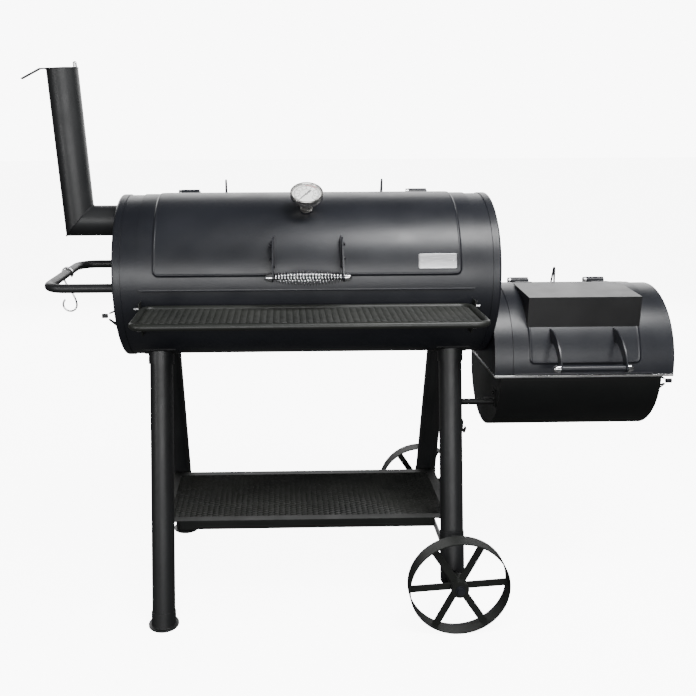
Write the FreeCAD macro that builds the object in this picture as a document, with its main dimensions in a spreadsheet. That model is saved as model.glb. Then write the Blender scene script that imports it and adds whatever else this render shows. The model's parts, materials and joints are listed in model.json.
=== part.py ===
import FreeCAD, Part
import math
import os
import re

# Offset smoker.  Millimetres, +Z up, ground at z = 0, seen from the front along +Y with +X right.
# Every length below is measured from the barrel axis unless the word "ground" is used.

DIMENSIONS = [
    # word, value, meaning
    ("barrel_x", -131.57, "barrel centre along X"),
    ("barrel_y", 34.8, "barrel axis along Y"),
    ("axis_height", 866.0, "barrel axis above ground"),
    ("barrel_radius", 205.0, "outside radius of the barrel sheet"),
    ("sheet", 2.0, "sheet thickness of barrel and caps"),
    ("barrel_half", 457.0, "half length of the barrel sheet"),
    ("cap_face", 463.6, "outer face of the end caps"),
    ("cap_rim", 20.0, "length of the end cap rims"),
    ("cap_round", 6.0, "outside rounding of the caps"),
    ("opening_half", 392.0, "half length of the barrel opening"),
    ("opening_back", 42.0, "rear edge of the openings"),
    ("lid_half", 404.0, "half length of the barrel lid"),
    ("lid_gap", 0.3, "gap between lid and barrel sheet"),
    ("lid_drop", 1.4, "angle of the barrel lid below the middle of the barrel"),
    ("lid_rest", 0.2, "angle of the firebox lid above its seam"),
    ("lid_sweep", 103.6, "angle from the front to the rear edge of a lid"),
    ("emboss_half", 368.0, "half length of the raised lid panel"),
    ("emboss_raise", 2.5, "height of the raised panels"),
    ("emboss_sweep", 84.0, "angle covered by the raised panels"),
    ("firebox_height", 640.0, "firebox seam above ground"),
    ("firebox_radius", 192.0, "outside radius of the firebox housing"),
    ("firebox_left", 463.6, "left face of the firebox housing"),
    ("firebox_right", 911.0, "right face of the firebox housing"),
    ("firebox_lid_left", 509.0, "left edge of the firebox lid"),
    ("firebox_lid_right", 863.0, "right edge of the firebox lid"),
    ("firebox_panel_left", 546.0, "left edge of the raised firebox panel"),
    ("firebox_panel_right", 827.0, "right edge of the raised firebox panel"),
    ("bowl_radius", 162.0, "outside radius of the firebox bowl"),
    ("bowl_height", 615.0, "centre of the bowl above ground"),
    ("bowl_left", 488.0, "left face of the bowl"),
    ("bowl_right", 897.0, "right face of the bowl"),
    ("ledge_thick", 6.0, "thickness of the rim strip"),
    ("hinge_back", 60.0, "hinge line behind the axis"),
    ("hinge_out", 9.0, "hinge line outside the sheet"),
    ("knuckle_radius", 8.5, "hinge knuckle radius"),
    ("knuckle_third", 15.0, "length of one knuckle"),
    ("pin_radius", 2.5, "hinge pin radius"),
    ("pin_fit", 0.05, "running clearance of pins"),
    ("pipe_radius", 38.5, "chimney pipe radius"),
    ("pipe_sheet", 1.5, "chimney pipe wall"),
    ("pipe_height", 1007.5, "horizontal chimney pipe above ground"),
    ("pipe_reach", 575.6, "chimney corner left of the centre"),
    ("pipe_length", 368.0, "upright chimney pipe length"),
    ("pipe_lean", 2.5, "outward lean of the chimney, degrees"),
    ("cap_gap", 0.6, "gap under the chimney cap"),
    ("leg_radius", 29.5, "leg tube radius"),
    ("leg_x", 374.0, "legs left and right of the centre"),
    ("leg_spread", 259.7, "legs front and back at the ground"),
    ("leg_top", 75.5, "legs front and back at the top point"),
    ("leg_top_height", 675.0, "height of the top point"),
    ("foot_radius", 39.0, "foot disc radius"),
    ("foot_thick", 5.0, "foot disc thickness"),
    ("wheel_radius", 126.0, "wheel radius"),
    ("wheel_width", 42.0, "wheel width"),
    ("wheel_out", 325.0, "outer wheel face from the axis"),
    ("axle_radius", 6.0, "axle radius"),
    ("hub_radius", 22.0, "wheel hub radius"),
    ("shelf_half", 391.0, "half length of the bottom shelf"),
    ("shelf_depth", 157.0, "half depth of the bottom shelf"),
    ("shelf_top", 238.0, "top of the bottom shelf rails"),
    ("angle_size", 25.0, "angle rail leg"),
    ("angle_sheet", 2.5, "angle rail thickness"),
    ("front_half", 388.0, "front shelf tube centre left and right"),
    ("front_back", 216.0, "rear tube of the front shelf"),
    ("front_out", 400.0, "front tube of the front shelf"),
    ("front_height", 822.0, "front shelf tube above ground"),
    ("front_tube", 8.0, "front shelf tube radius"),
    ("mesh_thick", 2.0, "expanded metal thickness"),
    ("handle_half", 82.0, "lid handle arms left and right"),
    ("handle_out", 258.0, "lid handle rod in front of the axis"),
    ("handle_up", 36.0, "lid handle rod above the axis"),
    ("rod_radius", 5.0, "handle rod radius"),
    ("arm_sheet", 4.0, "handle arm thickness"),
    ("dial_radius", 40.0, "thermometer bezel radius"),
    ("push_radius", 11.0, "push handle tube radius"),
    ("push_half", 180.0, "push handle legs front and back"),
    ("push_reach", 629.0, "push handle cross tube left of the centre"),
    ("vent_radius", 46.0, "air vent disc radius"),
    ("vent_sheet", 1.5, "air vent disc thickness"),
    ("vent_gap", 0.3, "gap between vent disc and end plate"),
]

D = {word: value for word, value, meaning in DIMENSIONS}
WORD = re.compile(r"[a-z_]+")

doc = FreeCAD.newDocument("OffsetSmoker")
sheet = doc.addObject("Spreadsheet::Sheet", "Dims")
for row, (word, value, meaning) in enumerate(DIMENSIONS, start=1):
    sheet.set("A%d" % row, word)
    sheet.set("B%d" % row, str(value))
    sheet.set("C%d" % row, meaning)
    sheet.setAlias("B%d" % row, word)
doc.recompute()

NODES = []
PLAIN = FreeCAD.Rotation()
X_AXIS = FreeCAD.Vector(1, 0, 0)
Y_AXIS = FreeCAD.Vector(0, 1, 0)
Z_AXIS = FreeCAD.Vector(0, 0, 1)
ALONG_X = FreeCAD.Rotation(Y_AXIS, 90)
ALONG_Y = FreeCAD.Rotation(X_AXIS, -90)

BX = D["barrel_x"]
BY = D["barrel_y"]
AXIS = D["axis_height"]
SEAM = D["firebox_height"]
FIREBOX_MID = (D["firebox_lid_left"] + D["firebox_lid_right"]) / 2


# ---------------------------------------------------------------- helpers

def vec(x, y, z):
    """Point given from the barrel centre line and the ground."""
    return FreeCAD.Vector(BX + x, BY + y, z)


def formula(text):
    """Turn dimension words into references to the sheet."""
    return WORD.sub(lambda m: "Dims." + m.group(0) if m.group(0) in D else m.group(0), text)


def make(kind, base, turn=PLAIN, **sizes):
    """One primitive with its sizes bound to the sheet."""
    obj = doc.addObject("Part::" + kind, kind)
    for prop, text in sizes.items():
        obj.setExpression(prop, formula(str(text)))
    obj.Placement = FreeCAD.Placement(base, turn)
    return obj


def rod(base, turn, radius, length, angle=None):
    if angle is None:
        return make("Cylinder", base, turn, Radius=radius, Height=length)
    return make("Cylinder", base, turn, Radius=radius, Height=length, Angle=angle)


def block(base, length, width, height, turn=PLAIN):
    return make("Box", base, turn, Length=length, Width=width, Height=height)


def cut(base, tool):
    obj = doc.addObject("Part::Cut", "Cut")
    obj.Base = base
    obj.Tool = tool
    return obj


def fuse(*shapes):
    obj = doc.addObject("Part::MultiFuse", "Fuse")
    obj.Shapes = list(shapes)
    obj.Refine = True
    return obj


def group(*shapes):
    """Separate solids that share one node."""
    obj = doc.addObject("Part::Compound", "Group")
    obj.Links = list(shapes)
    return obj


def raw(shape):
    """A bent wire or a perforated sheet, which no primitive describes."""
    obj = doc.addObject("Part::Feature", "Form")
    obj.Shape = shape
    return obj


def node(label, obj):
    obj.Label = label
    NODES.append((label, obj))
    return obj


def about_x(start):
    """Turn for a sector around X that opens upward from the front, at an angle from -Y."""
    a = math.radians(start)
    out = FreeCAD.Vector(0, -math.cos(a), math.sin(a))
    nxt = FreeCAD.Vector(0, math.sin(a), math.cos(a))
    return FreeCAD.Rotation(out, nxt, FreeCAD.Vector(-1, 0, 0), "ZXY")


def arc_sheet(right, height, length, outer, inner, start, sweep):
    """Curved sheet around a line along X whose right end is at x = right."""
    outside = rod(vec(right, 0, height), about_x(start), outer, length, sweep)
    inside = rod(vec(right + 5, 0, height), about_x(start), inner, "%s + 10" % length)
    return cut(outside, inside)


def solid_barrel(height, radius):
    """Tool that trims a piece to a curved sheet."""
    return rod(vec(-600, 0, height), ALONG_X, radius, "1600")


def on_circle(radius, angle, height):
    """(y, z) on a circle around a line along X; the angle runs from -Y upward."""
    a = math.radians(angle)
    return -radius * math.cos(a), height + radius * math.sin(a)


def yz_outline(points, x):
    return [vec(x, y, z) for y, z in points]


def plate(points, x, thick, grow=0.0):
    """Flat plate in the YZ plane, from x to x + thick, with rounded growth round its outline."""
    wire = Part.makePolygon(yz_outline(points + points[:1], x))
    if grow:
        wire = Part.Face(wire).makeOffset2D(grow).Wires[0]
    obj = doc.addObject("Part::Extrusion", "Plate")
    obj.Base = raw(wire)
    obj.DirMode = "Custom"
    obj.Dir = X_AXIS
    obj.Solid = True
    obj.setExpression("LengthFwd", formula(thick))
    return obj


def folded(points, width):
    """Folded strip: an outline pulled along Y."""
    obj = doc.addObject("Part::Extrusion", "Strip")
    obj.Base = raw(Part.makePolygon(points + points[:1]))
    obj.DirMode = "Custom"
    obj.Dir = Y_AXIS
    obj.Solid = True
    obj.setExpression("LengthFwd", formula(width))
    return obj


def bent_path(points, bend, closed=False):
    """Polyline whose corners are replaced by arcs."""
    count = len(points)
    inner = range(count) if closed else range(1, count - 1)
    tangents = {}
    for i in inner:
        here = points[i]
        before = (points[i - 1] - here).normalize()
        after = (points[(i + 1) % count] - here).normalize()
        half = before.getAngle(after) / 2
        reach = bend / math.tan(half)
        middle = (before + after).normalize() * (bend / math.sin(half) - bend)
        tangents[i] = (here + before * reach, here + middle, here + after * reach)
    edges = []
    last = count if closed else count - 1
    for i in range(last):
        j = (i + 1) % count
        start = tangents[i][2] if i in tangents else points[i]
        end = tangents[j][0] if j in tangents else points[j]
        edges.append(Part.makeLine(start, end))
        if j in tangents:
            edges.append(Part.Arc(*tangents[j]).toShape())
    return Part.Wire(edges)


def bent_rod(points, bend, radius, closed=False):
    path = bent_path(points, bend, closed)
    return sweep_round(path, radius)


def sweep_round(path, radius, frenet=True):
    first = path.OrderedEdges[0]
    start = first.valueAt(first.FirstParameter)
    along = first.tangentAt(first.FirstParameter)
    ring = Part.Wire(Part.makeCircle(radius, start, along))
    solid = path.makePipeShell([ring], True, frenet)
    if solid.Volume < 0:
        solid.reverse()
    return solid


def diamonds(x0, y0, x1, y1, long_way, short_way, strand):
    """Openings of expanded metal, long way along X, inside a rectangle."""
    holes = []
    half_l = long_way / 2 - strand
    half_s = short_way / 2 - strand / 2
    row = 0
    y = y0 + short_way / 2 + strand
    while y < y1 - short_way / 2 - strand / 2:
        x = x0 + long_way / 2 + strand + (long_way / 2 if row % 2 else 0)
        while x < x1 - long_way / 2 - strand / 2:
            holes.append([(x - half_l, y), (x, y - half_s), (x + half_l, y), (x, y + half_s)])
            x += long_way
        y += short_way / 2
        row += 1
    return holes


def perforated(x0, y0, x1, y1, z, thick, holes):
    """Flat sheet with closed outlines cut out of it; all points from the barrel centre."""
    def ring(points):
        return Part.makePolygon([vec(x, y, z) for x, y in points + points[:1]])
    outer = ring([(x0, y0), (x1, y0), (x1, y1), (x0, y1)])
    face = Part.Face([outer] + [ring(h[::-1]) for h in holes])
    return face.extrude(FreeCAD.Vector(0, 0, thick))


def slots(x0, x1, y0, y1, pitch, bar, cross):
    """Openings between the bars of a grate; the bars run along Y, the cross bars along X."""
    count = int(round((x1 - x0 - bar) / pitch))
    step = (x1 - x0 - bar) / count
    bay = (y1 - y0 - bar) / cross
    holes = []
    for i in range(count):
        a = x0 + bar + i * step
        for j in range(cross):
            b = y0 + bar + j * bay
            c = a + step - bar
            d = b + bay - bar
            holes.append([(a, b), (c, b), (c, d), (a, d)])
    return holes


# ---------------------------------------------------------------- barrel

def barrel_shells():
    full = "2 * barrel_half"
    node("barrel_lower_shell",
         arc_sheet(D["barrel_half"], AXIS, full, "barrel_radius", "barrel_radius - sheet", 180, "180"))
    upper = arc_sheet(D["barrel_half"], AXIS, full, "barrel_radius", "barrel_radius - sheet", 0, "180")
    opening = block(vec(-D["opening_half"], -300, AXIS - 1), "2 * opening_half", "300 + opening_back", "300")
    node("barrel_upper_shell", cut(upper, opening))


def rounded_drum(side, radius, length, rounding, face):
    """Cylinder along X whose end at x = face is rounded; it points inward."""
    turn = ALONG_X if side < 0 else FreeCAD.Rotation(Y_AXIS, -90)
    drum = rod(vec(face, 0, AXIS), turn, radius, length)
    doc.recompute()
    edge = [i for i, e in enumerate(drum.Shape.Edges, start=1)
            if e.BoundBox.XLength < 0.1 and abs(e.BoundBox.XMin - (BX + face)) < 0.1]
    obj = doc.addObject("Part::Fillet", "Rounded")
    obj.Base = drum
    obj.Edges = [(i, rounding, rounding) for i in edge]
    return obj


def cap_body(side):
    face = side * D["cap_face"]
    outside = rounded_drum(side, "barrel_radius + sheet", "cap_rim", D["cap_round"], face)
    inside = rounded_drum(side, "barrel_radius", "cap_rim", D["cap_round"] - D["sheet"],
                          face - side * D["sheet"])
    return cut(outside, inside)


def through_x(x, y, z, radius):
    return rod(vec(x - 10, y, z), ALONG_X, radius, "20")


VENT_LEFT = (-65.0, 772.0)
VENT_RIGHT = (-98.0, 592.0)
VENT_HOLES = 3


def vent_holes(x, centre, radius, ring, turn):
    """Air holes of a vent, spread evenly round its pivot."""
    holes = []
    for i in range(VENT_HOLES):
        a = math.radians(turn + 360.0 / VENT_HOLES * i)
        holes.append(through_x(x, centre[0] + ring * math.cos(a), centre[1] + ring * math.sin(a), radius))
    return holes


def barrel_caps():
    left = -D["cap_face"]
    tools = vent_holes(left, VENT_LEFT, "12", 28, 90)
    tools.append(through_x(left, VENT_LEFT[0], VENT_LEFT[1], "3.3"))
    tools.append(through_x(left, 0, D["pipe_height"], "pipe_radius - pipe_sheet"))
    node("barrel_cap_left", cut(cap_body(-1), group(*tools)))
    flue = block(vec(D["cap_face"] - 10, -80, 700), "20", "160", "88")
    node("barrel_cap_right", cut(cap_body(1), flue))


# ---------------------------------------------------------------- chimney

LEAN = math.radians(D["pipe_lean"])
PIPE_UP = FreeCAD.Vector(-math.sin(LEAN), 0, math.cos(LEAN))
PIPE_CROSS = FreeCAD.Vector(math.cos(LEAN), 0, math.sin(LEAN))
PIPE_TURN = FreeCAD.Rotation(PIPE_CROSS, Y_AXIS, PIPE_UP, "ZXY")
CORNER = vec(-D["pipe_reach"], 0, D["pipe_height"])
PIPE_TOP = CORNER + PIPE_UP * D["pipe_length"]
PIVOT_IN = 32.0


def half_space(keep):
    """Block that removes one side of the mitre; keep is +1 for the horizontal pipe."""
    mid = (X_AXIS + PIPE_UP).normalize()
    away = FreeCAD.Vector(-mid.z, 0, mid.x) * keep
    turn = FreeCAD.Rotation(away, Y_AXIS, away.cross(Y_AXIS), "XYZ")
    corner = CORNER - Y_AXIS * 150 - away.cross(Y_AXIS) * 150
    return block(corner, "300", "300", "300", turn)


def tube(base, turn, outer, inner, length):
    return cut(rod(base, turn, outer, length), rod(base, turn, inner, length))


def chimney():
    inner = "pipe_radius - pipe_sheet"
    run = "pipe_reach - cap_face + 60"
    level = tube(CORNER - X_AXIS * 60, ALONG_X, "pipe_radius", inner, run)
    flange = tube(vec(-D["cap_face"] - 2, 0, D["pipe_height"]), ALONG_X, "pipe_radius + 12", inner, "2")
    node("chimney_elbow", fuse(cut(level, half_space(1)), flange))
    upright = tube(CORNER - PIPE_UP * 60, PIPE_TURN, "pipe_radius", inner, "pipe_length + 60")
    trimmed = cut(upright, half_space(-1))
    tab_base = PIPE_TOP + PIPE_CROSS * (PIVOT_IN - 8) - PIPE_UP * 6 - Y_AXIS * 7
    tab = block(tab_base, "13", "14", "3", PIPE_TURN)
    bore_base = PIPE_TOP + PIPE_CROSS * PIVOT_IN - PIPE_UP * 20
    bore = rod(bore_base, PIPE_TURN, "2.5", "40")
    node("chimney_pipe", fuse(trimmed, cut(tab, bore)))


def chimney_cap():
    pivot = PIPE_TOP + PIPE_CROSS * PIVOT_IN
    disc = rod(PIPE_TOP + PIPE_UP * D["cap_gap"], PIPE_TURN, "pipe_radius + 1", "2")
    top = D["cap_gap"] + 2
    profile = [(-26, top), (-54, top), (-101, top - 21), (-101, top - 18.5), (-54, top + 2.5), (-26, top + 2.5)]
    points = [PIPE_TOP + PIPE_CROSS * a + PIPE_UP * b - Y_AXIS * 9 for a, b in profile]
    lever = folded(points, "18")
    bore = rod(pivot - PIPE_UP * 5, PIPE_TURN, "2.5 + pin_fit", "20")
    node("chimney_cap", cut(fuse(disc, lever), bore))
    stem = rod(pivot - PIPE_UP * 12, PIPE_TURN, "2.5", "26")
    lower_nut = rod(pivot - PIPE_UP * 10, PIPE_TURN, "5", "3.8")
    washer = rod(pivot + PIPE_UP * (top + 0.3), PIPE_TURN, "6", "1.5")
    upper_nut = rod(pivot + PIPE_UP * (top + 1.8), PIPE_TURN, "5", "8")
    dome = make("Sphere", pivot + PIPE_UP * (top + 9.8), PIPE_TURN, Radius="5")
    node("chimney_cap_bolt", fuse(stem, lower_nut, washer, upper_nut, dome))


# ---------------------------------------------------------------- lids and hinges

def lid_sheet(left, right, height, radius, panel_left, panel_right, start):
    """Curved lid with a raised rectangular panel; sides and radius are dimension words."""
    inner = "%s + lid_gap" % radius
    outer = inner + " + sheet"
    skin = arc_sheet(D[right], height, "%s - (%s)" % (right, left), outer, inner,
                     start, "lid_sweep - (%s)" % start)
    panel = arc_sheet(D[panel_right], height, "%s - (%s)" % (panel_right, panel_left),
                      outer + " + emboss_raise", inner, 8, "emboss_sweep")
    return fuse(skin, panel)


def hinge_line(radius, height):
    """(y, z) of a hinge axis behind a curved sheet."""
    out = radius + D["hinge_out"]
    return D["hinge_back"], height + math.sqrt(out ** 2 - D["hinge_back"] ** 2)


def wrap(radius, y):
    """Angle from -Y at which a circle of this radius reaches y."""
    return math.degrees(math.acos(-y / radius))


def knuckle(x, radius, height, count):
    y, z = hinge_line(radius, height)
    base = vec(x, y, z)
    return tube(base, ALONG_X, "knuckle_radius", "pin_radius + pin_fit", "%s * knuckle_third" % count)


def hinge_fixed(x, radius, word, height):
    """Leaf on the sheet with the two outer knuckles."""
    third = D["knuckle_third"]
    y, z = hinge_line(radius, height)
    parts = [knuckle(x - 1.5 * third - 0.4, radius, height, 1), knuckle(x + 0.5 * third + 0.4, radius, height, 1)]
    start = wrap(radius, 56)
    stop = wrap(radius, 96)
    for right in (x - 0.5 * third - 0.4, x + 1.5 * third + 0.4):
        parts.append(arc_sheet(right, height, "knuckle_third", word + " + 3", word, start, str(stop - start)))
    back = wrap(radius, 74)
    parts.append(arc_sheet(x + 1.5 * third + 0.4, height, "3 * knuckle_third + 0.8", word + " + 3", word,
                           back, str(stop - back)))
    bore = rod(vec(x - 50, y, z), ALONG_X, "pin_radius + pin_fit", "100")
    return cut(fuse(*parts), bore)


def hinge_moving(x, radius, word, height):
    """Leaf on the lid with the middle knuckle."""
    third = D["knuckle_third"]
    y, z = hinge_line(radius, height)
    lid_word = word + " + lid_gap + sheet"
    outer = radius + D["lid_gap"] + D["sheet"]
    start = wrap(outer, 12)
    stop = wrap(outer, 49)
    near = wrap(outer, 60)
    wide = arc_sheet(x + 1.5 * third, height, "3 * knuckle_third", lid_word + " + 2", lid_word,
                     start, str(stop - start))
    tongue = arc_sheet(x + 0.5 * third, height, "knuckle_third", lid_word + " + 2", lid_word,
                       start, str(near - start))
    bore = rod(vec(x - 50, y, z), ALONG_X, "pin_radius + pin_fit", "100")
    return cut(fuse(knuckle(x - 0.5 * third, radius, height, 1), wide, tongue), bore)


def hinge_pin(x, radius, height):
    y, z = hinge_line(radius, height)
    third = D["knuckle_third"]
    stem = rod(vec(x - 1.5 * third - 2, y, z), ALONG_X, "pin_radius", "3 * knuckle_third + 4")
    ends = [rod(vec(x - 1.5 * third - 8.0, y, z), ALONG_X, "8", "7"),
            rod(vec(x + 1.5 * third + 1.0, y, z), ALONG_X, "4", "2.4")]
    return fuse(stem, *ends)


BARREL_HINGES = (-297.0, 297.0)
FIREBOX_HINGES = (FIREBOX_MID - 103.0, FIREBOX_MID + 103.0)


def lid_stop(x, radius, height, word):
    """Bent wire behind a lid on which the open lid comes to rest."""
    y, z = hinge_line(radius, height)
    top = vec(x, y + 24, z + 45)
    foot_front = vec(x, y + 18, height + math.sqrt(radius ** 2 - (y + 18) ** 2) - 6)
    foot_back = vec(x, y + 54, height + math.sqrt(radius ** 2 - (y + 54) ** 2) - 6)
    wire = raw(bent_rod([foot_front, top, foot_back], 4.0, 2.5))
    return cut(wire, solid_barrel(height, word))


def lids():
    node("lid_shell", lid_body())
    node("firebox_lid", lid_sheet("firebox_lid_left", "firebox_lid_right", SEAM, "firebox_radius",
                                  "firebox_panel_left", "firebox_panel_right", D["lid_rest"]))
    barrel = D["barrel_radius"]
    firebox = D["firebox_radius"]
    fixed = [hinge_fixed(x, barrel, "barrel_radius", AXIS) for x in BARREL_HINGES]
    fixed += [hinge_fixed(x, firebox, "firebox_radius", SEAM) for x in FIREBOX_HINGES]
    node("fixed_hinge_leaves", group(*fixed))
    node("lid_hinge_leaves", group(*[hinge_moving(x, barrel, "barrel_radius", AXIS) for x in BARREL_HINGES]))
    node("firebox_lid_leaves",
         group(*[hinge_moving(x, firebox, "firebox_radius", SEAM) for x in FIREBOX_HINGES]))
    pins = [hinge_pin(x, barrel, AXIS) for x in BARREL_HINGES]
    pins += [hinge_pin(x, firebox, SEAM) for x in FIREBOX_HINGES]
    node("hinge_pins", group(*pins))
    stops = [lid_stop(x, barrel, AXIS, "barrel_radius") for x in (-206.0, 206.0)]
    stops.append(lid_stop(FIREBOX_MID, firebox, SEAM, "firebox_radius"))
    node("lid_stops", group(*stops))


def lid_body():
    """Barrel lid with the hole for the thermometer stem."""
    whole = lid_sheet("-lid_half", "lid_half", AXIS, "barrel_radius", "-emboss_half", "emboss_half",
                      -D["lid_drop"])
    return cut(whole, rod(dial_point(150), DIAL_TURN, "5", "100"))


# ---------------------------------------------------------------- thermometer

DIAL_ANGLE = 57.0
DIAL_OUT = FreeCAD.Vector(0, -math.cos(math.radians(DIAL_ANGLE)), math.sin(math.radians(DIAL_ANGLE)))
DIAL_TURN = FreeCAD.Rotation(X_AXIS, DIAL_OUT.cross(X_AXIS), DIAL_OUT, "ZXY")
PANEL = D["barrel_radius"] + D["lid_gap"] + D["sheet"] + D["emboss_raise"]
NEEDLE_REST = 51.0


def dial_point(out):
    return vec(0, 0, AXIS) + DIAL_OUT * out


def thermometer():
    collar = rod(dial_point(PANEL - 4), DIAL_TURN, "14", "45")
    collar = cut(collar, solid_barrel(AXIS, "barrel_radius + lid_gap + sheet + emboss_raise"))
    bezel = rod(dial_point(PANEL + 40), DIAL_TURN, "dial_radius", "15")
    recess = rod(dial_point(PANEL + 48), DIAL_TURN, "dial_radius - 3", "20")
    probe = rod(dial_point(PANEL - 75), DIAL_TURN, "4", "85")
    node("thermometer_case", fuse(collar, cut(bezel, recess), probe))
    pivot = rod(dial_point(PANEL + 48), DIAL_TURN, "1.2", "4.2")
    face = rod(dial_point(PANEL + 48), DIAL_TURN, "dial_radius - 3", "1")
    node("thermometer_dial", fuse(face, pivot))
    point = FreeCAD.Rotation(DIAL_OUT, NEEDLE_REST).multiply(DIAL_TURN)
    bar_base = dial_point(PANEL + 49.5) - point.multVec(X_AXIS) * 28 - point.multVec(Y_AXIS) * 1.1
    bar = block(bar_base, "40", "2.2", "0.8", point)
    hub = rod(dial_point(PANEL + 49.5), DIAL_TURN, "3.2", "1.5")
    bore = rod(dial_point(PANEL + 45), DIAL_TURN, "1.2 + pin_fit", "10")
    node("thermometer_needle", cut(fuse(bar, hub), bore))
    node("thermometer_lens", rod(dial_point(PANEL + 52.8), DIAL_TURN, "dial_radius - 3", "1.5"))


# ---------------------------------------------------------------- barrel lid handle

ARM_BOLTS = (19.0, 28.0)
ARM_RING = 221.0


def mirrored(build, *args):
    return [build(side, *args) for side in (-1, 1)]


def handle_bracket(side):
    """Tab on the lid that an arm is bolted to."""
    ends = [on_circle(ARM_RING, a, AXIS) for a in (15.0, 32.0)]
    inner = [on_circle(PANEL - 5, a, AXIS) for a in (32.0, 15.0)]
    x = side * D["handle_half"] - (3.0 if side > 0 else 0.0) - side * D["arm_sheet"] / 2
    tab = plate(ends + inner, x, "3", 6.0)
    return cut(tab, solid_barrel(AXIS, "barrel_radius + lid_gap + sheet + emboss_raise"))


def handle_arm(side):
    """Flat triangular arm from the tab out to the handle rod."""
    points = [on_circle(ARM_RING, 30.0, AXIS), on_circle(ARM_RING, 18.0, AXIS),
              (-D["handle_out"], AXIS + D["handle_up"])]
    x = side * D["handle_half"] - D["arm_sheet"] / 2
    arm = plate(points, x, "arm_sheet", 10.0)
    bore = rod(vec(x - 10, -D["handle_out"], AXIS + D["handle_up"]), ALONG_X, "rod_radius", "30")
    return cut(arm, bore)


def acorn(x, y, z, side):
    """Domed nut on the end of a handle rod."""
    turn = ALONG_X if side > 0 else FreeCAD.Rotation(Y_AXIS, -90)
    nut = rod(vec(x, y, z), turn, "10", "9")
    dome = make("Cone", vec(x + side * 9, y, z), turn, Radius1="9", Radius2="3", Height="9")
    return fuse(nut, dome)


def lid_handle():
    y = -D["handle_out"]
    z = AXIS + D["handle_up"]
    node("lid_handle_brackets", group(*mirrored(handle_bracket)))
    node("lid_handle_arms", group(*mirrored(handle_arm)))
    half = D["handle_half"] + D["arm_sheet"] / 2
    node("lid_handle_rod", rod(vec(-half, y, z), ALONG_X, "rod_radius", "2 * handle_half + arm_sheet"))
    hardware = [acorn(side * half, y, z, side) for side in (-1, 1)]
    for side in (-1, 1):
        for angle in ARM_BOLTS:
            by, bz = on_circle(ARM_RING + 2, angle, AXIS)
            turn = ALONG_X if side > 0 else FreeCAD.Rotation(Y_AXIS, -90)
            hardware.append(rod(vec(side * half, by, bz), turn, "5.5", "5"))
    node("lid_handle_nuts", group(*hardware))
    node("lid_handle_coil", raw(coil_spring(y, z)))


def coil_spring(y, z):
    """Open wire spring that bulges in the middle."""
    turns = 22
    steps = 14
    wire = 1.6
    reach = D["handle_half"] - D["arm_sheet"] / 2 - wire - 0.4
    points = []
    for i in range(turns * steps + 1):
        t = i / float(turns * steps)
        x = -reach + 2 * reach * t
        radius = 8.4 + 7.8 * math.sin(math.pi * t) ** 0.8
        a = 2 * math.pi * i / steps
        points.append(vec(x, y + radius * math.cos(a), z + radius * math.sin(a)))
    curve = Part.BSplineCurve()
    curve.interpolate(points)
    return sweep_round(Part.Wire([curve.toShape()]), wire)


def badge():
    """Plain blank plate on the lid, bent to follow it."""
    right = 354.5
    base = "barrel_radius + lid_gap + sheet + emboss_raise"
    node("badge_plate", arc_sheet(right, AXIS, "91", base + " + 1.5", base, 12.6, "9.8"))


# ---------------------------------------------------------------- firebox

def firebox():
    long = "firebox_right - firebox_left"
    right = D["firebox_right"]
    left = D["firebox_left"]
    skin = arc_sheet(right, SEAM, long, "firebox_radius", "firebox_radius - sheet", 0, "180")
    opening = block(vec(D["firebox_lid_left"] + 12, -300, SEAM + 10),
                    "firebox_lid_right - firebox_lid_left - 24", "300 + opening_back", "300")
    left_wall = rod(vec(left + 2, 0, SEAM), about_x(0), "firebox_radius", "sheet", "180")
    right_wall = rod(vec(right, 0, SEAM), about_x(0), "firebox_radius", "sheet", "180")
    flue = block(vec(left - 5, -80, 700), "12", "160", "88")
    node("firebox_housing", fuse(cut(skin, opening), cut(left_wall, flue), right_wall))
    rim = block(vec(left, -D["firebox_radius"] - 2, SEAM - D["ledge_thick"]), long,
                "2 * firebox_radius + 4", "ledge_thick")
    gap = block(vec(D["bowl_left"] + 7, -155, SEAM - 20), "bowl_right - bowl_left - 14", "310", "40")
    node("firebox_ledge", cut(rim, gap))
    node("firebox_bowl", bowl())
    node("firebox_strut", strut())


def trough(inset):
    """Solid with a round bottom and straight upper sides along X."""
    radius = "bowl_radius - %s" % inset
    long = "bowl_right - bowl_left - 2 * %s" % inset
    x = D["bowl_right"] - inset
    z = D["bowl_height"]
    low = rod(vec(x, 0, z), about_x(180), radius, long, "180")
    upper = block(vec(D["bowl_left"] + inset, -D["bowl_radius"] + inset, z), long,
                  "2 * (%s)" % radius, "firebox_height - ledge_thick - bowl_height + %s" % inset)
    return fuse(low, upper)


def bowl():
    hollow = cut(trough(0), trough(2))
    tools = vent_holes(D["bowl_right"], VENT_RIGHT, "10", 24, 90)
    tools.append(through_x(D["bowl_right"], VENT_RIGHT[0], VENT_RIGHT[1], "3.3"))
    return cut(hollow, group(*tools))


def leg_y(z):
    """Distance of a leg axis from the barrel axis at a height."""
    return D["leg_top"] + (D["leg_top_height"] - z) / D["leg_top_height"] * (D["leg_spread"] - D["leg_top"])


def strut():
    z = 545.0
    y = -leg_y(z)
    bar = rod(vec(D["leg_x"], y, z), ALONG_X, "8", "bowl_left - leg_x")
    foot = block(vec(D["bowl_left"] - 3, y - 14, z - 10), "3", "28", "44")
    shelf = block(vec(D["bowl_left"] - 26, y - 10, z + 6), "24", "20", "3")
    bolt = rod(vec(D["bowl_left"] - 8, y, z + 24), ALONG_X, "5", "6")
    return cut(fuse(bar, foot, shelf, bolt), leg_cylinder(1, -1, "leg_radius"))


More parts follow.
